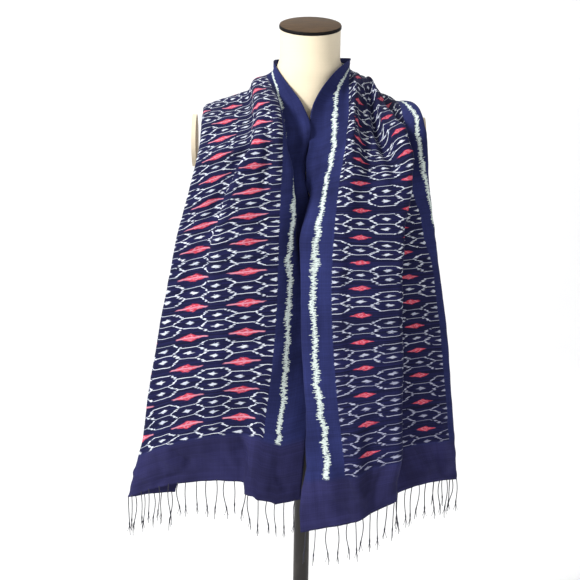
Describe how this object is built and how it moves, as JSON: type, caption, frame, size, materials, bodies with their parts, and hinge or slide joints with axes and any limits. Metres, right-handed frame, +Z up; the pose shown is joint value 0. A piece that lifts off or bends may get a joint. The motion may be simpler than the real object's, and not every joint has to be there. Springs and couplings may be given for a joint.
{
  "type": "scarf on a dress form stand",
  "caption": "Long woven shawl scarf with knotted fringe, draped over a limbless dress form on a pole stand.",
  "frame": {"origin": "centre of the round base's underside, on the floor, on the pole's axis", "axes": "+Z up along the pole, -Y towards the viewer of the form's front, +X to that viewer's right"},
  "size_m": [0.6554, 0.3506, 1.4701],
  "materials": {
    "indigo_ikat": "plain woven cotton with a resist dyed pattern",
    "fringe_cord": "twisted cotton",
    "cream_linen": "taut fine linen",
    "dark_wood": "satin stain",
    "black_metal": "satin black"
  },
  "bodies": {
    "root": {"scarf_left": "indigo_ikat", "scarf_back": "indigo_ikat", "scarf_right": "indigo_ikat", "fringe_left": "fringe_cord", "fringe_right": "fringe_cord", "form_torso": "cream_linen", "arm_plate_left": "cream_linen", "arm_plate_right": "cream_linen", "neck_cap": "dark_wood", "pole_collar": "black_metal", "pole": "black_metal", "stand_base": "black_metal"}
  },
  "joints": []
}
